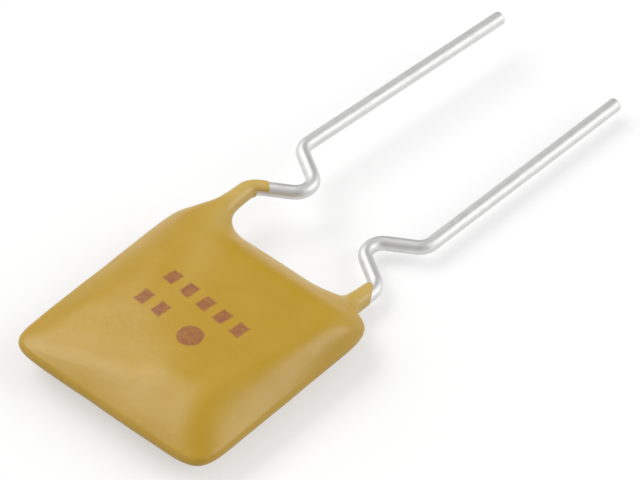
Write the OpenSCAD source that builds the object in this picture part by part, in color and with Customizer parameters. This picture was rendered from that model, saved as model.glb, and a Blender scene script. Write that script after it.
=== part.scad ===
// Resettable fuse: a polymer chip between two foils, with two wire leads, dipped in epoxy.
// X runs across the leads, Y along them towards their tips, and Z up. It lies on its back at Z 0.

/* [Chip] */
// Width of the polymer chip, across the leads
chip_w = 7.1; // [6.6:0.1:10]
// Length of the polymer chip, along the leads
chip_h = 7.35; // [6.4:0.05:10]
// Thickness of the polymer chip
chip_t = 0.28; // [0.2:0.02:0.5]
// Thickness of each foil electrode
foil_t = 0.035; // [0.02:0.005:0.1]

/* [Leads] */
// Diameter of the tinned wire
wire_d = 0.51; // [0.4:0.01:0.6]
// Distance between the leads where they leave the body
lead_pitch = 5.7; // [4.4:0.02:6]
// Length of each lead that lies along the chip
lead_grip = 3.4; // [2.6:0.1:4.2]
// Straight length of each lead between the body and its kink
lead_stub = 1.43; // [1:0.01:3]
// Radius of every bend, at the middle of the wire
bend_r = 0.62; // [0.5:0.02:0.76]
// Diameter that the wire loses where it is drawn round a bend
bend_thinning = 0.004; // [0.002:0.001:0.02]
// How far each kink leans in towards the other lead
kink_depth = 1.45; // [1.2:0.01:1.7]
// Angle that the wire turns through into its kink
kink_angle = 57.5; // [48:0.5:68]
// Straight length of the front lead past its kink
front_tail = 9.4; // [5:0.1:30]
// Straight length of the rear lead past its kink
rear_tail = 9.6; // [5:0.1:30]
// Angle by which the front lead's tail leans in
front_toe = 5; // [-6:0.5:6]
// Angle by which the rear lead's tail leans in
rear_toe = -2; // [-6:0.5:6]

/* [Solder] */
// Thickness of the solder between each wire and its foil
solder_gap = 0.05; // [0.03:0.01:0.1]
// Width of each solder joint on its foil
solder_w = 1.2; // [0.9:0.05:1.5]
// Height of each solder joint above its foil
solder_h = 0.42; // [0.36:0.02:0.5]
// Length of solder past the inner end of each lead
solder_end = 0.4; // [0.2:0.05:0.6]
// Bare foil between each solder joint and the edge of the chip
solder_edge = 0.3; // [0.1:0.05:1]

/* [Coating] */
// Epoxy past the edges of the chip
coat_edge = 0.75; // [0.6:0.01:1.2]
// Epoxy over the leads, at the flat of each face
coat_face = 0.32; // [0.3:0.02:0.8]
// Radius of the round rim
rim_r = 0.3; // [0.26:0.01:0.4]
// Angle at which each shoulder leaves the rim
rim_slope = 40; // [36:1:52]
// Width of the shoulder between the outline and the flat of each face
shoulder_w = 1.9; // [1.6:0.05:2.2]
// How far the front's flat lies off the middle, away from the front lead
flat_shift_x = 0.65; // [0:0.05:0.8]
// How far the front's flat lies off the middle, towards the leads
flat_shift_y = 0.4; // [0:0.05:0.6]
// Slope of the bevel that lowers the front towards the far corner on the front lead's side
bevel_slope = 9.5; // [6:0.5:10]
// Length of the bevel down to the chip's corner
bevel_reach = 4.2; // [3:0.1:4.4]
// Angle of the bevel's fall, from straight across the leads towards straight away from their tips
bevel_turn = 52; // [45:1:60]
// Squareness of the outline, from a soft cushion to a sharp-cornered tile
squareness = 10.5; // [8:0.5:14]
// Squareness of the flat of each face
flat_squareness = 6; // [5:0.5:10]
// Epoxy on the wire at the tip of each ear
ear_film = 0.06; // [0.05:0.01:0.2]
// Extra half width of each ear where it leaves the body
ear_flare = 0.22; // [0.1:0.02:0.4]
// Distance along the lead in which most of that flare dies away
ear_taper = 0.6; // [0.2:0.05:0.8]
// Share of its flare by which the front ear leans away from the other lead
front_lean = 0.45; // [-0.9:0.05:0.9]
// Share of its flare by which the rear ear leans away from the other lead
rear_lean = -0.8; // [-0.9:0.05:0.9]
// Distance inside the body at which each ear starts
ear_root = 1.6; // [1.2:0.1:2]
// Length of the front lead's kink that its ear covers
front_ear = 0.9; // [0.1:0.05:1]
// Length of the rear lead's kink that its ear covers
rear_ear = 0.2; // [0.1:0.05:1]

/* [Hidden] */
$fn = 48;

// Points round the outline and round an ear, and steps up the rim, up a shoulder and along an ear
outline_points = 64;
ear_points = 24;
rim_steps = 5;
shoulder_steps = 6;
ear_steps = 20;

wire_r = wire_d / 2;
body_w = chip_w + 2 * coat_edge;
body_h = chip_h + 2 * coat_edge;

// Heights from the middle of the chip: the foils' outer faces, the wires' axes and the flats
foil_top = chip_t / 2 + foil_t;
wire_z = foil_top + solder_gap + wire_r;
body_half_t = wire_z + wire_r + coat_face;

// Each lead lies along the chip, leaves the body and turns into its kink at kink_y
kink_y = body_h / 2 + lead_stub;
lead_run = lead_grip + coat_edge + lead_stub;
kink_leg = (kink_depth - 2 * bend_r * (1 - cos(kink_angle))) / sin(kink_angle);
entry_bend = bend_r * kink_angle * PI / 180;
bend_lap = 2;

coat_colour = [0.75, 0.61, 0.24];
tin_colour = [0.78, 0.78, 0.77];
solder_colour = [0.62, 0.63, 0.64];
foil_colour = [0.70, 0.68, 0.62];
chip_colour = [0.10, 0.10, 0.11];

// A closed skin over rings of points, stacked so that each ring turns anticlockwise seen from the last one.
// Each end is a fan of faces round the middle of its ring.
module skin(rings) {
    count = len(rings[0]);
    last = len(rings) - 1;
    middle = len(rings) * count;
    middles = [for (ring = [rings[0], rings[last]]) [for (point = ring) 1] * ring / count];
    sides = [for (i = [0 : last - 1], j = [0 : count - 1])
        let (a = i * count + j, b = i * count + (j + 1) % count)
        each [[a, a + count, b + count], [a, b + count, b]]];
    ends = [for (j = [0 : count - 1])
        let (k = (j + 1) % count)
        each [[j, k, middle], [last * count + k, last * count + j, middle + 1]]];
    polyhedron(concat([for (ring = rings) each ring], middles), concat(sides, ends));
}

// The pillow: flat on both faces, with shoulders that curve down to a round rim and one corner bevelled

// How far in from the outline and how high the rim ends, and the corner that the shoulder's curve rounds off
rim_in = rim_r * (1 - sin(rim_slope));
rim_z = rim_r * cos(rim_slope);
knee_in = min(rim_in + (body_half_t - rim_z) / tan(rim_slope), shoulder_w);

// Half the section: how far in and how high, from the outline over the rim and the shoulder to the flat
section = concat(
    [for (i = [0 : rim_steps])
        let (turn = (90 - rim_slope) * i / rim_steps)
        [rim_r * (1 - cos(turn)), rim_r * sin(turn)]],
    [for (i = [1 : shoulder_steps])
        let (t = i / shoulder_steps, left = 1 - t)
        [rim_in * left * left + 2 * knee_in * t * left + shoulder_w * t * t,
         body_half_t - (body_half_t - rim_z) * left * left]]);

// A point of a ring of half sizes w and h: a superellipse, whose points lie closest round its corners
function soft(x, power) = sign(x) * pow(abs(x), 2 / power);
function ring_point(turn, w, h, power) = [w * soft(cos(turn), power), h * soft(sin(turn), power)];

// A ring of the skin at a point of the section. Shift is where the flat's middle lies.
function pillow_ring(inset, z, shift) =
    let (share = 1 - 2 * inset / min(body_w, body_h), slid = inset / shoulder_w)
    let (power = squareness + (flat_squareness - squareness) * slid)
    [for (i = [0 : outline_points - 1])
        let (point = ring_point(360 * i / outline_points, share * body_w / 2, share * body_h / 2, power))
        [point[0] + slid * shift[0], point[1] + slid * shift[1], z]];

// What the bevel takes off: all that lies above a plane that falls from a line across the front's flat
module above_bevel() {
    size = body_w + body_h;
    corner = (chip_w * cos(bevel_turn) + chip_h * sin(bevel_turn)) / 2;
    rotate([0, 0, 180 + bevel_turn])
        translate([corner - bevel_reach, 0, body_half_t])
            rotate([0, bevel_slope, 0])
                translate([0, -size / 2, 0]) cube(size);
}

module pillow() {
    top = len(section) - 1;
    lower = [for (i = [top : -1 : 0]) pillow_ring(section[i][0], -section[i][1], [0, 0])];
    upper = [for (i = [1 : top]) pillow_ring(section[i][0], section[i][1], [flat_shift_x, flat_shift_y])];
    difference() {
        skin(concat(lower, upper));
        above_bevel();
    }
}

// The leads, in a frame at the start of the kink, with +Y along the wire and +X towards the other lead

// A straight stretch of wire, with what follows it at its end
module run(length) {
    rotate([-90, 0, 0]) cylinder(h = length, d = wire_d);
    translate([0, length, 0]) children();
}

// A bend towards +X, or away from it where the angle is negative, with what follows it at its end.
// It reaches bend_lap degrees into the straight wire on both sides.
module bend(angle) {
    side = sign(angle);
    translate([side * bend_r, 0, 0])
        rotate([0, 0, (side > 0 ? 180 - angle : 0) - bend_lap])
            rotate_extrude(angle = abs(angle) + 2 * bend_lap)
                translate([bend_r, 0]) circle(d = wire_d - bend_thinning);
    translate([side * bend_r * (1 - cos(angle)), bend_r * sin(abs(angle)), 0])
        rotate([0, 0, -angle])
            children();
}

module lead(toe, tail) {
    translate([0, -lead_run, 0])
        run(lead_run) bend(kink_angle) run(kink_leg) bend(-2 * kink_angle)
            run(kink_leg) bend(kink_angle + toe) run(tail);
}

// A mound of solder on the foil, from past the wire's inner end to near the edge of the chip
module solder_mound() {
    translate([0, -lead_run - solder_end, -wire_r - solder_gap])
        rotate([90, 0, 180])
            linear_extrude(height = solder_end + lead_grip - solder_edge)
                polygon([[-solder_w / 2, 0], [solder_w / 2, 0], [0, solder_h]]);
}

module solder(toe, tail) {
    difference() {
        solder_mound();
        lead(toe, tail);
    }
}

// The ears: epoxy that ran out along each lead and thins to a film part of the way into its kink

// Place and heading of the wire at a distance past the start of its kink
function wire_at(s) =
    s <= 0 ? [0, s, 0] :
    s <= entry_bend ? let (turn = s / bend_r * 180 / PI)
        [bend_r * (1 - cos(turn)), bend_r * sin(turn), turn] :
    let (leg = s - entry_bend)
        [bend_r * (1 - cos(kink_angle)) + leg * sin(kink_angle),
         bend_r * sin(kink_angle) + leg * cos(kink_angle), kink_angle];

// Share of the flare left at a distance past the body's edge: it grows from the root, then dies away
function flare_share(past) = past < 0 ? 1 + past / ear_root : exp(-past / ear_taper);

// The flare lies flat: it hangs under the wire, towards the body's middle, by this share of its width
flare_sag = 1 / 3;

function ear_ring(s, lean) =
    let (at = wire_at(s), flare = ear_flare * flare_share(s + lead_stub), sag = flare * flare_sag)
    let (half_w = wire_r + ear_film + flare, half_h = wire_r + ear_film + sag)
    [for (i = [0 : ear_points - 1])
        let (turn = 360 * i / ear_points, out = half_w * cos(turn) + lean * flare)
        [at[0] - out * cos(at[2]), at[1] + out * sin(at[2]), half_h * sin(turn) - sag]];

module ear(length, lean) {
    start = -lead_stub - ear_root;
    skin([for (i = [0 : ear_steps]) ear_ring(start + (length - start) * i / ear_steps, lean)]);
}

// Places: the front lead's frame, the rear lead's frame and the height at which the body lies on its back

module in_front() {
    translate([-lead_pitch / 2, kink_y, wire_z]) children();
}

module in_rear() {
    rotate([0, 180, 0]) in_front() children();
}

module on_back() {
    translate([0, 0, body_half_t]) children();
}

// The chip and one foil, centred on the chip's middle

module chip() {
    cube([chip_w, chip_h, chip_t], center = true);
}

module foil() {
    translate([-chip_w / 2, -chip_h / 2, chip_t / 2]) cube([chip_w, chip_h, foil_t]);
}

// What the epoxy covers: the chip with its foils, and each lead in its solder
module inside() {
    cube([chip_w, chip_h, 2 * foil_top], center = true);
    in_front() solder_mound();
    in_rear() solder_mound();
    in_front() lead(front_toe, front_tail);
    in_rear() lead(rear_toe, rear_tail);
}

module coating() {
    color(coat_colour)
        on_back()
            difference() {
                union() {
                    pillow();
                    in_front() ear(front_ear, front_lean);
                    in_rear() ear(rear_ear, rear_lean);
                }
                inside();
            }
}

module polymer_chip() {
    color(chip_colour) on_back() chip();
}

module front_foil() {
    color(foil_colour) on_back() foil();
}

module rear_foil() {
    color(foil_colour) on_back() rotate([0, 180, 0]) foil();
}

module front_solder() {
    color(solder_colour) on_back() in_front() solder(front_toe, front_tail);
}

module rear_solder() {
    color(solder_colour) on_back() in_rear() solder(rear_toe, rear_tail);
}

module front_lead() {
    color(tin_colour) on_back() in_front() lead(front_toe, front_tail);
}

module rear_lead() {
    color(tin_colour) on_back() in_rear() lead(rear_toe, rear_tail);
}

coating();
polymer_chip();
front_foil();
rear_foil();
front_solder();
rear_solder();
front_lead();
rear_lead();
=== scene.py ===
# Looks of the resettable fuse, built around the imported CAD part.
import math

import bpy
import numpy as np
from mathutils import Matrix, Vector


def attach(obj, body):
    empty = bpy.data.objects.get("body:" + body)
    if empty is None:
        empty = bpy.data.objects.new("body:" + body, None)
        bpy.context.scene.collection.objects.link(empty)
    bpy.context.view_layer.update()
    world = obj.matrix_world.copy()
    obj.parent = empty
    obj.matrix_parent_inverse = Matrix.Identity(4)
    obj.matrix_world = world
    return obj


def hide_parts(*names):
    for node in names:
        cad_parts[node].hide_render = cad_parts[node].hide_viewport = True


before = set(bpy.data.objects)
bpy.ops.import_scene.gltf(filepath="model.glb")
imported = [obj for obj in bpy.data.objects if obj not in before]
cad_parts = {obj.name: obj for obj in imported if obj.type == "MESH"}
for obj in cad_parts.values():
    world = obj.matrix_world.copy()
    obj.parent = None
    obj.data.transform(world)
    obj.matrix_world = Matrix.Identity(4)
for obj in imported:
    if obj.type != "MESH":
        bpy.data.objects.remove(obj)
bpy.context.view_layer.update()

# Metres in a millimetre
MM = 0.001

# Sizes in millimetres, as in the part's source
CHIP_W, CHIP_H, CHIP_T, FOIL_T = 7.1, 7.35, 0.28, 0.035
WIRE_D, LEAD_PITCH, LEAD_GRIP, LEAD_STUB = 0.51, 5.7, 3.4, 1.43
BEND_R, KINK_DEPTH, KINK_ANGLE = 0.62, 1.45, math.radians(57.5)
FRONT_TAIL, REAR_TAIL = 9.4, 9.6
FRONT_TOE, REAR_TOE = math.radians(5), math.radians(-2)
SOLDER_GAP = 0.05
COAT_EDGE, COAT_FACE, SQUARENESS, FLAT_SQUARENESS = 0.75, 0.32, 10.5, 6
RIM_R, RIM_SLOPE, SHOULDER_W = 0.3, math.radians(40), 1.9
FLAT_SHIFT_Y, FLARE_SAG = 0.4, 1 / 3

# Sizes that follow from these
WIRE_R = WIRE_D / 2
BODY_W = CHIP_W + 2 * COAT_EDGE
BODY_H = CHIP_H + 2 * COAT_EDGE
FOIL_TOP = CHIP_T / 2 + FOIL_T
WIRE_Z = FOIL_TOP + SOLDER_GAP + WIRE_R
BODY_HALF_T = WIRE_Z + WIRE_R + COAT_FACE
KINK_Y = BODY_H / 2 + LEAD_STUB
LEAD_RUN = LEAD_GRIP + COAT_EDGE + LEAD_STUB
KINK_LEG = (KINK_DEPTH - 2 * BEND_R * (1 - math.cos(KINK_ANGLE))) / math.sin(KINK_ANGLE)
ENTRY_BEND = BEND_R * KINK_ANGLE

# The coat's finer form, in millimetres, which departs a little from the source's plainer one

# Front flat: its shift, its gain in width for each millimetre towards the leads, and its fall to its edges
FLAT_SHIFT_X, FLAT_TAPER, CROWN = 0.55, 0.065, 0.06
# Rounds that settle how far up the shoulder each point lies
FLAT_ROUNDS = 8
# Ridge over the front lead: its height, its half width, where it starts and the length that it rises over
RIDGE, RIDGE_W, RIDGE_FROM, RIDGE_RISE = 0.05, 0.6, 0.0, 2.0
# Bevel on the front: its slope, the direction in which it falls, its distance from the middle and its blends
BEVEL_SLOPE, BEVEL_X, BEVEL_Y = 0.165, -0.617, -0.787
BEVEL_FROM, BEVEL_ROUND, BEVEL_BLEND = 0.9, 0.5, 0.12
# Ears: their film at the body and past the bend, the fillet at the body and the rounding of their ends
EAR_FILM, TIP_FILM, FILLET, EAR_LIP = 0.055, 0.02, 0.8, 0.14
# Root of an ear inside the body: its length, the least share of the size that it keeps, and its dive
EAR_ROOT, ROOT_LEAST, EAR_DIVE = 2.2, 0.05, 0.55
# How gently a flare starts to thin
FLARE_START = 0.1
# Past this length, only a tongue of coat is left, on the wire's upper outer side down to this level
TONGUE_FROM, TONGUE_LOW = 0.42, -0.14
# Each ear: its length past the start of the kink, and its form, where out is away from the other lead
FRONT_EAR = {
    "length": 0.92, "slant": 0.3, "shift": 0.045,
    "flare_out": 0.26, "flare_in": 0.1, "out_taper": 0.75, "in_taper": 0.35,
}
REAR_EAR = {
    "length": 0.1, "slant": 1.3, "shift": -0.045,
    "flare_out": 0.03, "flare_in": 0.34, "out_taper": 0.35, "in_taper": 0.75,
}
# Waves of the dipped skin: height, share of the short ones, and rates along x, y and z with a start
WAVE_HEIGHT, SHORT_SHARE = 0.007, 0.6
LONG_WAVES = ((1.9, 0.8, 0.0, 0.4), (-0.7, 1.3, 0.0, 1.1))
SHORT_WAVES = ((3.1, -1.7, 1.0, 2.0), (1.2, 2.3, 0.0, 0.0))

# Meshes

# Grid for the coat: its step, its margin in steps, and how its points are drawn in to the skin
GRID_STEP, GRID_MARGIN = 0.06, 2
DRAW_ROUNDS, SLOPE_REACH, SLOPE_LEAST = 4, 0.004, 1e-6
# Points on the curve of the shoulder
SHOULDER_POINTS = 1000
# Wire: its sides, its steps on runs and on bends, and the rounding of its tip
WIRE_SIDES, RUN_STEP, BEND_STEP, LEAST_STEPS = 40, 0.24, 0.06, 2
TIP_ROUND, TIP_STEPS = 0.07, 5


def ease(x):
    """A smooth rise from 0 to 1."""
    k = np.clip(x, 0, 1)
    return k * k * (3 - 2 * k)


def soft_min(a, b, width):
    """The lower of two values, blended where they come within a width."""
    h = np.maximum(width - np.abs(a - b), 0) / width
    return np.minimum(a, b) - h * h * width / 4


def soft_max(a, b, width):
    """The higher of two values, blended where they come within a width."""
    return -soft_min(-a, -b, width)


# Half the thickness against the inset from the outline: a round rim, then a shoulder up to the flat
RIM_IN, RIM_Z = RIM_R * (1 - math.sin(RIM_SLOPE)), RIM_R * math.cos(RIM_SLOPE)
KNEE_IN = RIM_IN + (BODY_HALF_T - RIM_Z) / math.tan(RIM_SLOPE)
gone = np.linspace(0, 1, SHOULDER_POINTS)
shoulder_in = RIM_IN * (1 - gone) ** 2 + 2 * KNEE_IN * gone * (1 - gone) + SHOULDER_W * gone ** 2
shoulder_z = BODY_HALF_T - (BODY_HALF_T - RIM_Z) * (1 - gone) ** 2


def half_t(inset):
    """Half the body's thickness at an inset from its outline, with a straight slope over the rim."""
    before = RIM_Z - (RIM_IN - inset) * math.tan(RIM_SLOPE)
    return np.where(inset < RIM_IN, before, np.interp(inset, shoulder_in, shoulder_z))


def pillow(x, y, z):
    """Field of the body: below 0 inside it, and about a distance near its skin."""
    slid = np.zeros_like(x)
    for _ in range(FLAT_ROUNDS):
        power = SQUARENESS + (FLAT_SQUARENESS - SQUARENESS) * slid
        width = BODY_W * (1 + FLAT_TAPER * y * slid * (z > 0))
        u = np.abs(2 * (x - FLAT_SHIFT_X * slid * (z > 0)) / width)
        v = np.abs(2 * (y - FLAT_SHIFT_Y * slid * (z > 0)) / BODY_H)
        ring = (u ** power + v ** power) ** (1 / power)
        inset = (1 - ring) * min(BODY_W, BODY_H) / 2
        slid = np.clip(inset / SHOULDER_W, 0, 1)
    crown = CROWN * np.clip(ring, 0, 1) ** 2
    ridge = RIDGE * np.exp(-((x + LEAD_PITCH / 2) / RIDGE_W) ** 2) * ease((y - RIDGE_FROM) / RIDGE_RISE)
    height = half_t(inset) - (crown - ridge) * (z > 0) * ease(inset / SHOULDER_W)
    beyond = BEVEL_X * x + BEVEL_Y * y - BEVEL_FROM
    bevel = BODY_HALF_T - BEVEL_SLOPE * (beyond + np.hypot(beyond, BEVEL_ROUND)) / 2
    height = np.where(z > 0, soft_min(height, bevel + RIDGE, BEVEL_BLEND), height)
    face = np.abs(z) - height
    rim = np.hypot(RIM_R - inset, z) - RIM_R
    on_rim = np.arctan2(np.abs(z), RIM_R - inset) < math.pi / 2 - RIM_SLOPE
    return np.where(on_rim, rim, face * math.cos(RIM_SLOPE))


def along_wire(x, y):
    """For points in a lead's frame, the distance past the kink's start and the offset from the other lead."""
    turn = np.clip(np.arctan2(y, BEND_R - x), 0, KINK_ANGLE)
    leg_x = x - BEND_R * (1 - math.cos(KINK_ANGLE))
    leg_y = y - BEND_R * math.sin(KINK_ANGLE)
    leg = leg_x * math.sin(KINK_ANGLE) + leg_y * math.cos(KINK_ANGLE)
    leg_out = leg_y * math.sin(KINK_ANGLE) - leg_x * math.cos(KINK_ANGLE)
    s = np.where(y <= 0, y, np.where(leg > 0, ENTRY_BEND + leg, BEND_R * turn))
    out = np.where(y <= 0, -x, np.where(leg > 0, leg_out, np.hypot(BEND_R - x, y) - BEND_R))
    return s, out


def flare(size, past, taper):
    """Width of a flare at a distance past the body's edge: it dies away over the taper."""
    beside = np.maximum(past, 0)
    return size * np.exp(-beside * beside / (beside + FLARE_START) / taper)


def ear(x, y, z, length, slant, shift, flare_out, flare_in, out_taper, in_taper):
    """Field of one ear, in its lead's frame: flares at the body that thin to a film on the wire."""
    s, out = along_wire(x, y)
    past = s + LEAD_STUB
    rooted = np.maximum(ease(1 + past / EAR_ROOT), ROOT_LEAST)
    out_flare = flare(flare_out * rooted, past, out_taper)
    in_flare = flare(flare_in * rooted, past, in_taper)
    sag = (out_flare + in_flare) / 2 * FLARE_SAG
    round_bend = ease(s / ENTRY_BEND)
    film = EAR_FILM + (TIP_FILM - EAR_FILM) * round_bend
    half_w = (WIRE_R + film) * rooted + (out_flare + in_flare) / 2
    half_h = (WIRE_R + film) * rooted + sag
    middle = shift * (1 - round_bend) * rooted + (out_flare - in_flare) / 2
    dive = EAR_DIVE * (1 - rooted)
    skin = (np.hypot((out - middle) / half_w, (z + sag + dive) / half_h) - 1) * half_h
    end = (s - length + slant * out) / math.hypot(1, slant)
    up_and_out = (out + z) * math.sqrt(0.5)
    under = soft_min(s - TONGUE_FROM, TONGUE_LOW - up_and_out, EAR_LIP)
    return soft_max(np.maximum(skin, -past - EAR_ROOT), soft_max(end, under, EAR_LIP), EAR_LIP)


def waves(x, y, z, pair):
    """The product of two ripples."""
    ripples = [np.sin(kx * x + ky * y + kz * z + start) for kx, ky, kz, start in pair]
    return ripples[0] * ripples[1]


def coat(x, y, z):
    """Field of the coat: the body, both ears, and slow waves that fade out at the flat back."""
    body = pillow(x, y, z)
    front = ear(x + LEAD_PITCH / 2, y - KINK_Y, z - WIRE_Z, **FRONT_EAR)
    rear = ear(LEAD_PITCH / 2 - x, y - KINK_Y, -z - WIRE_Z, **REAR_EAR)
    off_back = ease((z + BODY_HALF_T) / RIM_R)
    uneven = WAVE_HEIGHT * (waves(x, y, z, LONG_WAVES) + SHORT_SHARE * waves(x, y, z, SHORT_WAVES))
    return soft_min(body, np.minimum(front, rear), FILLET) + off_back * uneven


def gradient(field, points):
    """Slope of a field along each axis."""
    slope = np.empty_like(points)
    for i in range(3):
        step = np.zeros(3)
        step[i] = SLOPE_REACH
        slope[:, i] = (field(*(points + step).T) - field(*(points - step).T)) / (2 * SLOPE_REACH)
    return slope


def grid_points(level, axes):
    """One point in each cell that the skin crosses, at the mean of its crossings, and each cell's number."""
    sums = np.zeros(tuple(n - 1 for n in level.shape) + (3,))
    hits = np.zeros(sums.shape[:3])
    for axis in range(3):
        others = [i for i in range(3) if i != axis]
        near = np.take(level, range(level.shape[axis] - 1), axis)
        far = np.take(level, range(1, level.shape[axis]), axis)
        cross = (near < 0) != (far < 0)
        share = np.where(cross, near / np.where(cross, near - far, 1), 0)
        for shift in ((0, 0), (0, 1), (1, 0), (1, 1)):
            edge = [slice(None)] * 3
            for i, k in zip(others, shift):
                edge[i] = slice(k, level.shape[i] - 1 + k)
            crossed = cross[tuple(edge)]
            hits += crossed
            sums[..., axis] += np.where(crossed, share[tuple(edge)], 0)
            for i, k in zip(others, shift):
                sums[..., i] += np.where(crossed, k, 0)
    cells = np.argwhere(hits > 0)
    at = tuple(cells.T)
    number = np.full(hits.shape, -1)
    number[at] = np.arange(len(cells))
    points = np.array([places[0] for places in axes]) + GRID_STEP * (cells + sums[at] / hits[at][:, None])
    return points, number


def grid_quads(inside, number):
    """A quad across each edge of the grid that the skin crosses, facing outward."""
    quads = []
    for axis in range(3):
        i, j = (axis + 1) % 3, (axis + 2) % 3
        near = np.take(inside, range(inside.shape[axis] - 1), axis)
        far = np.take(inside, range(1, inside.shape[axis]), axis)
        spots = np.argwhere(near != far)
        leaving = near[tuple(spots.T)]
        ring = []
        for back_i, back_j in ((-1, -1), (0, -1), (0, 0), (-1, 0)):
            cell = spots.copy()
            cell[:, i] += back_i
            cell[:, j] += back_j
            ring.append(number[tuple(cell.T)])
        quad = np.stack(ring, 1)
        quads.append(np.where(leaving[:, None], quad, quad[:, ::-1]))
    return np.concatenate(quads)


def surface_net(field, low, high):
    """Points, quads and normals of the skin where a field is 0."""
    margin = GRID_MARGIN * GRID_STEP
    beyond = (GRID_MARGIN + 1) * GRID_STEP
    axes = [np.arange(low[i] - margin, high[i] + beyond, GRID_STEP) for i in range(3)]
    level = field(*np.meshgrid(*axes, indexing="ij"))
    points, number = grid_points(level, axes)
    quads = grid_quads(level < 0, number)
    for _ in range(DRAW_ROUNDS):
        value, slope = field(*points.T), gradient(field, points)
        points -= slope * (value / np.maximum((slope * slope).sum(1), SLOPE_LEAST))[:, None]
    slope = gradient(field, points)
    return points, quads, slope / np.linalg.norm(slope, axis=1)[:, None]


def mesh_object(name, points, faces, normals=None):
    """An object from points in millimetres about the body's middle, placed on the body's back."""
    mesh = bpy.data.meshes.new(name)
    lifted = (np.asarray(points) + np.array([0, 0, BODY_HALF_T])) * MM
    mesh.from_pydata(lifted.tolist(), [], [list(map(int, face)) for face in faces])
    mesh.polygons.foreach_set("use_smooth", np.ones(len(mesh.polygons), bool))
    mesh.validate()
    mesh.update()
    if normals is not None:
        mesh.normals_split_custom_set_from_vertices(np.asarray(normals).tolist())
    piece = bpy.data.objects.new(name, mesh)
    bpy.context.scene.collection.objects.link(piece)
    return piece


def lead_path(toe, tail):
    """Points and headings along a lead, in its frame at the start of the kink."""
    x, y, heading = 0.0, -LEAD_RUN, 0.0
    points = []

    def run(length):
        nonlocal x, y
        count = max(LEAST_STEPS, int(length / RUN_STEP))
        for k in range(count):
            far = length * k / count
            points.append((x + far * math.sin(heading), y + far * math.cos(heading), heading))
        x += length * math.sin(heading)
        y += length * math.cos(heading)

    def bend(angle):
        nonlocal x, y, heading
        arm = math.copysign(BEND_R, angle)
        middle_x, middle_y = x + arm * math.cos(heading), y - arm * math.sin(heading)
        count = max(LEAST_STEPS, int(BEND_R * abs(angle) / BEND_STEP))
        for k in range(count):
            turned = heading + angle * k / count
            points.append((middle_x - arm * math.cos(turned), middle_y + arm * math.sin(turned), turned))
        heading += angle
        x, y = middle_x - arm * math.cos(heading), middle_y + arm * math.sin(heading)

    run(LEAD_RUN)
    bend(KINK_ANGLE)
    run(KINK_LEG)
    bend(-2 * KINK_ANGLE)
    run(KINK_LEG)
    bend(KINK_ANGLE + toe)
    run(tail)
    points.append((x, y, heading))
    return points


def lead_mesh(name, toe, tail, side):
    """A round wire along a lead's path, with a rounded edge at its tip. side is 1 in front and -1 behind."""
    path = lead_path(toe, tail)
    rings = [(*path[0], WIRE_R - TIP_ROUND)]
    rings += [(*point, WIRE_R) for point in path[:-1]]
    tip_x, tip_y, heading = path[-1]
    for k in range(TIP_STEPS + 1):
        turn = math.pi / 2 * k / TIP_STEPS
        back = TIP_ROUND * (1 - math.sin(turn))
        radius = WIRE_R - TIP_ROUND * (1 - math.cos(turn))
        rings.append((tip_x - back * math.sin(heading), tip_y - back * math.cos(heading), heading, radius))
    points = []
    for ring_x, ring_y, heading, radius in rings:
        for i in range(WIRE_SIDES):
            turn = 2 * math.pi * i / WIRE_SIDES
            out, up = radius * math.cos(turn), radius * math.sin(turn)
            x = ring_x - out * math.cos(heading) - LEAD_PITCH / 2
            y = ring_y + out * math.sin(heading) + KINK_Y
            points.append((side * x, y, side * (up + WIRE_Z)))
    faces = []
    for r in range(len(rings) - 1):
        for i in range(WIRE_SIDES):
            a, b = r * WIRE_SIDES + i, r * WIRE_SIDES + (i + 1) % WIRE_SIDES
            faces.append((a, a + WIRE_SIDES, b + WIRE_SIDES, b))
    tip = (len(rings) - 1) * WIRE_SIDES
    faces.append(tuple(range(WIRE_SIDES)))
    faces.append(tuple(tip + i for i in reversed(range(WIRE_SIDES))))
    return mesh_object(name, points, faces)


# The coat and the leads
coat_low = (-BODY_W / 2, -BODY_H / 2, -BODY_HALF_T)
coat_high = (BODY_W / 2, KINK_Y + 2 * BEND_R, BODY_HALF_T)
coat_piece = mesh_object("epoxy_coat", *surface_net(coat, coat_low, coat_high))
front_piece = lead_mesh("front_wire", FRONT_TOE, FRONT_TAIL, 1)
rear_piece = lead_mesh("rear_wire", REAR_TOE, REAR_TAIL, -1)

# Materials
EVEN = (1, 1, 1)
WHITE = (1, 1, 1, 1)
# Range that most values of a noise lie in
NOISE_LOW, NOISE_HIGH = 0.3, 0.7
# Numbers of a mix node's sockets for colours
MIX_A, MIX_B, MIX_RESULT = 6, 7, 2


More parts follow.
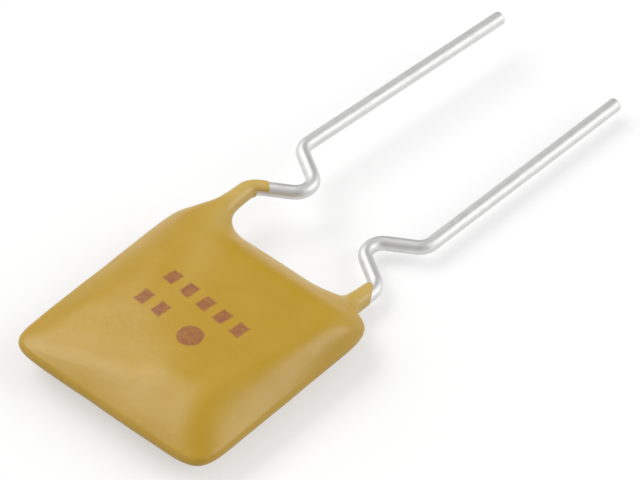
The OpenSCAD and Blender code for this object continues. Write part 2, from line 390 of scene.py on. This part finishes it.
class Nodes:
    """Short names for building a material's nodes."""

    def __init__(self, name):
        self.material = bpy.data.materials.new(name)
        self.material.use_nodes = True
        self.tree = self.material.node_tree
        self.shader = self.tree.nodes["Principled BSDF"]

    def add(self, kind, **settings):
        node = self.tree.nodes.new(kind)
        for key, value in settings.items():
            setattr(node, key, value)
        return node

    def put(self, value, socket):
        if isinstance(value, bpy.types.NodeSocket):
            self.tree.links.new(value, socket)
        else:
            socket.default_value = value

    def look(self, name, value):
        """Sets or links one of the shader's inputs."""
        self.put(value, self.shader.inputs[name])

    def math(self, operation, *values):
        node = self.add("ShaderNodeMath", operation=operation)
        for value, socket in zip(values, node.inputs):
            self.put(value, socket)
        return node.outputs[0]

    def place(self, stretch=EVEN):
        """Object coordinates in millimetres, times a stretch for each axis."""
        coordinates = self.add("ShaderNodeTexCoord").outputs["Object"]
        mapping = self.add("ShaderNodeMapping")
        mapping.inputs["Scale"].default_value = [k / MM for k in stretch]
        self.put(coordinates, mapping.inputs["Vector"])
        return mapping.outputs[0]

    def axes(self, turn=0.0):
        """x, y and z in millimetres, turned about z."""
        rotate = self.add("ShaderNodeVectorRotate", rotation_type="Z_AXIS")
        self.put(self.place(), rotate.inputs["Vector"])
        rotate.inputs["Angle"].default_value = turn
        split = self.add("ShaderNodeSeparateXYZ")
        self.put(rotate.outputs[0], split.inputs[0])
        return split.outputs

    def noise(self, scale, detail, stretch=EVEN):
        node = self.add("ShaderNodeTexNoise")
        self.put(self.place(stretch), node.inputs["Vector"])
        node.inputs["Scale"].default_value = scale
        node.inputs["Detail"].default_value = detail
        return node.outputs["Fac"]

    def spread(self, value, low, high, to_low, to_high):
        node = self.add("ShaderNodeMapRange")
        for number, socket in zip((value, low, high, to_low, to_high), node.inputs):
            self.put(number, socket)
        return node.outputs[0]

    def mottle(self, noise, to_low, to_high):
        """A noise spread from its usual range to another."""
        return self.spread(noise, NOISE_LOW, NOISE_HIGH, to_low, to_high)

    def mix(self, share, a, b):
        node = self.add("ShaderNodeMix", data_type="RGBA")
        self.put(share, node.inputs["Factor"])
        for value, socket in ((a, node.inputs[MIX_A]), (b, node.inputs[MIX_B])):
            self.put(value if isinstance(value, bpy.types.NodeSocket) else (*value, 1), socket)
        return node.outputs[MIX_RESULT]

    def bump(self, height, distance):
        node = self.add("ShaderNodeBump")
        node.inputs["Distance"].default_value = distance * MM
        self.put(height, node.inputs["Height"])
        self.look("Normal", node.outputs[0])

    def finish(self, piece):
        piece.data.materials.clear()
        piece.data.materials.append(self.material)


# Ochre epoxy, with a stamp of plain bars and a dot in brown ink on the front
EPOXY_DEEP, EPOXY_PALE = (0.5, 0.295, 0.012), (0.525, 0.315, 0.018)
# EPOXY_SHEEN is the paler colour of a painted sheen; EPOXY_SPECK is the colour of dark specks
EPOXY_SHEEN, EPOXY_SPECK = (0.6, 0.41, 0.1), (0.36, 0.2, 0.02)
EPOXY_IOR, EPOXY_BUMP = 1.57, 0.006
SPECK_FROM, SPECK_FULL, SPECK_SHARE = 0.66, 0.78, 0.25
SATIN_LOW, SATIN_HIGH, INK_ROUGHER = 0.32, 0.4, 0.12
# Heights above the back between which the looks of the front set in
FRONT_LOW, FRONT_HIGH = 1.3 * BODY_HALF_T, 1.5 * BODY_HALF_T
# Painted sheen, a paler colour: where it sets in on the ears, and the streak's direction across, place, half
# widths and shares
EARS_FROM, EARS_FULL = BODY_H / 2 - 0.3, BODY_H / 2 + 0.9
STREAK_X, STREAK_Y, STREAK_AT = 0.894, 0.447, -0.54
STREAK_FULL, STREAK_EDGE = 0.1, 1.0
STREAK_END, STREAK_ROOT = 0.1, 0.6
# Ink: its colour, turn and soft edge, and the noise that thins it and to what share
INK, INK_TURN, INK_EDGE = (0.32, 0.1, 0.032), math.radians(6), 0.03
PATCH_FROM, PATCH_FULL, PATCH_SHARE = 0.35, 0.6, 0.7
# Bars: their half sizes, the first one's place, their step, and the height and count of each row
BAR_HALF_W, BAR_HALF_H, BAR_LEFT, BAR_STEP = 0.22, 0.29, -1.7, 0.82
BAR_ROWS = ((0.66, 5), (-0.62, 2))
DOT_X, DOT_Y, DOT_R = 0.7, -0.72, 0.46


def on_front(m, z):
    """1 on the front, and 0 on the edges and the back."""
    return m.spread(z, FRONT_LOW, FRONT_HIGH, 0, 1)


def past_bar(m, at, middle, half):
    """How far a place lies outside a bar along one axis."""
    return m.math("SUBTRACT", m.math("ABSOLUTE", m.math("SUBTRACT", at, middle)), half)


def ink_mask(m):
    """Share of ink: bars and a dot with rough edges and thinner patches."""
    x, y, z = m.axes(INK_TURN)
    marks = []
    for row, count in BAR_ROWS:
        for i in range(count):
            across = past_bar(m, x, BAR_LEFT + BAR_STEP * i, BAR_HALF_W)
            marks.append(m.math("MAXIMUM", across, past_bar(m, y, row, BAR_HALF_H)))
    dx, dy = m.math("SUBTRACT", x, DOT_X), m.math("SUBTRACT", y, DOT_Y)
    span = m.math("SQRT", m.math("ADD", m.math("MULTIPLY", dx, dx), m.math("MULTIPLY", dy, dy)))
    marks.append(m.math("SUBTRACT", span, DOT_R))
    nearest = marks[0]
    for mark in marks[1:]:
        nearest = m.math("MINIMUM", nearest, mark)
    rough_edge = m.mottle(m.noise(scale=5, detail=3), -INK_EDGE, INK_EDGE)
    inked = m.spread(m.math("ADD", nearest, rough_edge), -INK_EDGE, INK_EDGE, 1, 0)
    patchy = m.spread(m.noise(scale=5, detail=4), PATCH_FROM, PATCH_FULL, PATCH_SHARE, 1)
    return m.math("MULTIPLY", m.math("MULTIPLY", inked, patchy), on_front(m, z))


def painted_sheen_mask(m):
    """Share of painted sheen, a paler colour: on the ears, and in a streak across the front from the front
    ear.
    """
    x, y, z = m.axes()
    ears = m.spread(y, EARS_FROM, EARS_FULL, 0, 1)
    across = m.math("ADD", m.math("MULTIPLY", x, STREAK_X), m.math("MULTIPLY", y, STREAK_Y))
    across = m.math("ABSOLUTE", m.math("SUBTRACT", across, STREAK_AT))
    streak = m.spread(across, STREAK_FULL, STREAK_EDGE, 1, 0)
    fading = m.spread(y, 0, BODY_H / 2, STREAK_END, STREAK_ROOT)
    streak = m.math("MULTIPLY", m.math("MULTIPLY", streak, fading), on_front(m, z))
    return m.math("MAXIMUM", ears, streak)


epoxy = Nodes("epoxy")
cloudy = epoxy.mottle(epoxy.noise(scale=0.7, detail=3), 0, 1)
colour = epoxy.mix(cloudy, EPOXY_DEEP, EPOXY_PALE)
specks = epoxy.spread(epoxy.noise(scale=16, detail=2), SPECK_FROM, SPECK_FULL, 0, SPECK_SHARE)
colour = epoxy.mix(specks, colour, EPOXY_SPECK)
# Painted sheen: a paler colour on the ears and in a streak across the front
colour = epoxy.mix(painted_sheen_mask(epoxy), colour, EPOXY_SHEEN)
ink = ink_mask(epoxy)
epoxy.look("Base Color", epoxy.mix(ink, colour, INK))
satin = epoxy.mottle(epoxy.noise(scale=2.2, detail=3), SATIN_LOW, SATIN_HIGH)
epoxy.look("Roughness", epoxy.math("ADD", satin, epoxy.math("MULTIPLY", ink, INK_ROUGHER)))
epoxy.look("IOR", EPOXY_IOR)
epoxy.bump(epoxy.noise(scale=4.5, detail=3), EPOXY_BUMP)
epoxy.finish(coat_piece)

# Tinned wire, with faint lumps and drawing lines along it
TIN_DARK, TIN_LIGHT = (0.69, 0.69, 0.68), (0.75, 0.75, 0.74)
TIN_SMOOTH, TIN_ROUGH, TIN_BUMP = 0.5, 0.6, 0.008
LINE_STRETCH, LINE_SHARE = (22, 0.9, 22), 0.1
tin = Nodes("tinned_wire")
lines = tin.noise(scale=1, detail=3, stretch=LINE_STRETCH)
cloudy = tin.mottle(tin.noise(scale=2.5, detail=3), 0, 1)
tin.look("Base Color", tin.mix(cloudy, TIN_DARK, TIN_LIGHT))
tin.look("Metallic", 1.0)
tin.look("Roughness", tin.mottle(lines, TIN_SMOOTH, TIN_ROUGH))
lumps = tin.noise(scale=3.2, detail=2)
tin.bump(tin.math("ADD", lumps, tin.math("MULTIPLY", lines, LINE_SHARE)), TIN_BUMP)
tin.finish(front_piece)
tin.finish(rear_piece)


def inner_material(name, dark, light, metallic, smooth, rough, scale, bump):
    """A mottled material for a sealed inner node."""
    m = Nodes(name)
    grain = m.noise(scale, detail=4)
    m.look("Base Color", m.mix(m.mottle(grain, 0, 1), dark, light))
    m.look("Metallic", metallic)
    m.look("Roughness", m.mottle(grain, smooth, rough))
    m.bump(grain, bump)
    return m


chip_look = inner_material(
    "polymer", dark=(0.008, 0.008, 0.009), light=(0.016, 0.016, 0.017),
    metallic=0.0, smooth=0.55, rough=0.75, scale=8, bump=0.01,
)
foil_look = inner_material(
    "foil", dark=(0.40, 0.38, 0.33), light=(0.52, 0.49, 0.43),
    metallic=1.0, smooth=0.3, rough=0.45, scale=5, bump=0.004,
)
solder_look = inner_material(
    "solder", dark=(0.34, 0.35, 0.36), light=(0.46, 0.47, 0.48),
    metallic=1.0, smooth=0.3, rough=0.5, scale=4, bump=0.01,
)
for node, inner_look in (
    ("polymer_chip", chip_look),
    ("front_foil", foil_look),
    ("rear_foil", foil_look),
    ("front_solder", solder_look),
    ("rear_solder", solder_look),
):
    inner_look.finish(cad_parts[node])

# Floor that shows white: paper with a glow that is seen but lights nothing, and half its width in metres
PAPER, PAPER_ROUGH, PAPER_GLOW = (0.5, 0.5, 0.5, 1), 0.9, 0.5
FLOOR_HALF = 1.5
floor_corners = [(x * FLOOR_HALF, y * FLOOR_HALF, 0) for x, y in ((-1, -1), (1, -1), (1, 1), (-1, 1))]
floor_mesh = bpy.data.meshes.new("floor")
floor_mesh.from_pydata(floor_corners, [], [(0, 1, 2, 3)])
floor = bpy.data.objects.new("floor", floor_mesh)
bpy.context.scene.collection.objects.link(floor)
paper = Nodes("white_paper")
paper.look("Base Color", PAPER)
paper.look("Roughness", PAPER_ROUGH)
paper.look("Specular IOR Level", 0.0)
light_path = paper.add("ShaderNodeLightPath")
seen = paper.math("MAXIMUM", light_path.outputs["Is Camera Ray"], light_path.outputs["Is Glossy Ray"])
seen = paper.math("MAXIMUM", seen, light_path.outputs["Is Transmission Ray"])
paper.look("Emission Color", WHITE)
paper.look("Emission Strength", paper.math("MULTIPLY", seen, PAPER_GLOW))
paper.finish(floor)

# A room that is brightest to the camera's left and right, dimmer around the camera, and dimmest far behind
ROOM_DIM, ROOM_LEFT, ROOM_RIGHT, ROOM_FRONT, ROOM_BACK = 0.36, 0.5, 0.6, -0.1, -0.25
LEFT_FROM, LEFT_FULL, RIGHT_FROM, RIGHT_FULL = -0.05, -0.55, 0.25, 0.8
FRONT_FROM, FRONT_FULL, BACK_FROM, BACK_FULL = 0.2, 0.9, -0.7, -0.95
TO_THE_RIGHT, TO_THE_FRONT = Vector((0.744, 0.668, 0.0)), Vector((0.668, -0.744, 0.0))
world = bpy.data.worlds.new("studio")
bpy.context.scene.world = world
world.use_nodes = True
tree = world.node_tree
background = tree.nodes["Background"]
direction = tree.nodes.new("ShaderNodeTexCoord")


def side_light(side, low, high, to_low, to_high):
    """Light that changes with how far a direction leans to one side."""
    facing = tree.nodes.new("ShaderNodeVectorMath")
    facing.operation = "DOT_PRODUCT"
    facing.inputs[1].default_value = side
    tree.links.new(direction.outputs["Generated"], facing.inputs[0])
    level = tree.nodes.new("ShaderNodeMapRange")
    level.interpolation_type = "SMOOTHSTEP"
    for value, socket in zip((low, high, to_low, to_high), level.inputs[1:5]):
        socket.default_value = value
    tree.links.new(facing.outputs["Value"], level.inputs["Value"])
    return level.outputs[0]


def total(a, b):
    """The sum of two lights."""
    node = tree.nodes.new("ShaderNodeMath")
    tree.links.new(a, node.inputs[0])
    tree.links.new(b, node.inputs[1])
    return node.outputs[0]


from_left = side_light(TO_THE_RIGHT, LEFT_FULL, LEFT_FROM, ROOM_DIM + ROOM_LEFT, ROOM_DIM)
from_right = side_light(TO_THE_RIGHT, RIGHT_FROM, RIGHT_FULL, 0, ROOM_RIGHT)
from_front = side_light(TO_THE_FRONT, FRONT_FROM, FRONT_FULL, 0, ROOM_FRONT)
from_back = side_light(TO_THE_FRONT, BACK_FULL, BACK_FROM, ROOM_BACK, 0)
room_light = total(total(from_left, from_right), total(from_front, from_back))
tree.links.new(room_light, background.inputs["Strength"])
background.inputs["Color"].default_value = WHITE

# Lamps, at this distance in metres
LAMP_REACH = 0.5


def softbox(name, toward, along, width, depth, radiance):
    """An area lamp of an even radiance, aimed at the body, with its width along a direction."""
    data = bpy.data.lights.new(name, "AREA")
    data.shape = "RECTANGLE"
    data.size = width
    data.size_y = depth
    data.energy = radiance * math.pi * width * depth
    lamp = bpy.data.objects.new(name, data)
    bpy.context.scene.collection.objects.link(lamp)
    z = Vector(toward).normalized()
    x = (along - z * along.dot(z)).normalized()
    y = z.cross(x)
    lamp.matrix_world = Matrix.Translation(z * LAMP_REACH) @ Matrix((x, y, z)).transposed().to_4x4()


softbox(
    "left_box", toward=(-0.62, -0.06, 0.78), along=Vector((0, -1, 0)),
    width=0.4, depth=0.26, radiance=3.2,
)
softbox(
    "right_box", toward=(0.66, 0.52, 0.54), along=TO_THE_FRONT,
    width=0.28, depth=0.3, radiance=2.45,
)

# Camera, from the view that was fitted to the photograph
CAMERA_AZ, CAMERA_EL, CAMERA_ROLL = math.radians(41.9), math.radians(46.74), math.radians(0.41)
FOCAL_PX, PX_PER_MM = 5000.0, 30.0
# Place of the body's middle in pixels from the picture's middle, right and down
BODY_PX = (-127.8, 95.3)
IMAGE_W, SENSOR = 640, 36.0
CLIP_NEAR, CLIP_FAR = 0.005, 10
back = Vector((
    math.sin(CAMERA_AZ) * math.cos(CAMERA_EL),
    -math.cos(CAMERA_AZ) * math.cos(CAMERA_EL),
    math.sin(CAMERA_EL),
))
right = Vector((math.cos(CAMERA_AZ), math.sin(CAMERA_AZ), 0))
up = back.cross(right)
right, up = (right * math.cos(CAMERA_ROLL) + up * math.sin(CAMERA_ROLL),
             up * math.cos(CAMERA_ROLL) - right * math.sin(CAMERA_ROLL))
eye = Vector((0, 0, BODY_HALF_T * MM)) + back * (FOCAL_PX / PX_PER_MM * MM)
aim = (right * (-BODY_PX[0] / FOCAL_PX) + up * (BODY_PX[1] / FOCAL_PX) - back).normalized()
right = (right - aim * right.dot(aim)).normalized()
up = right.cross(aim)
camera_data = bpy.data.cameras.new("camera")
camera_data.sensor_width = SENSOR
camera_data.lens = FOCAL_PX / IMAGE_W * SENSOR
camera_data.clip_start = CLIP_NEAR
camera_data.clip_end = CLIP_FAR
camera = bpy.data.objects.new("camera", camera_data)
bpy.context.scene.collection.objects.link(camera)
camera.matrix_world = Matrix((
    (right.x, up.x, -aim.x, eye.x),
    (right.y, up.y, -aim.y, eye.y),
    (right.z, up.z, -aim.z, eye.z),
    (0, 0, 0, 1),
))
bpy.context.scene.camera = camera
bpy.context.scene.view_settings.view_transform = "Standard"

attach(coat_piece, "root")
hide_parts("coating")
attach(front_piece, "root")
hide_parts("front_lead")
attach(rear_piece, "root")
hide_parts("rear_lead")
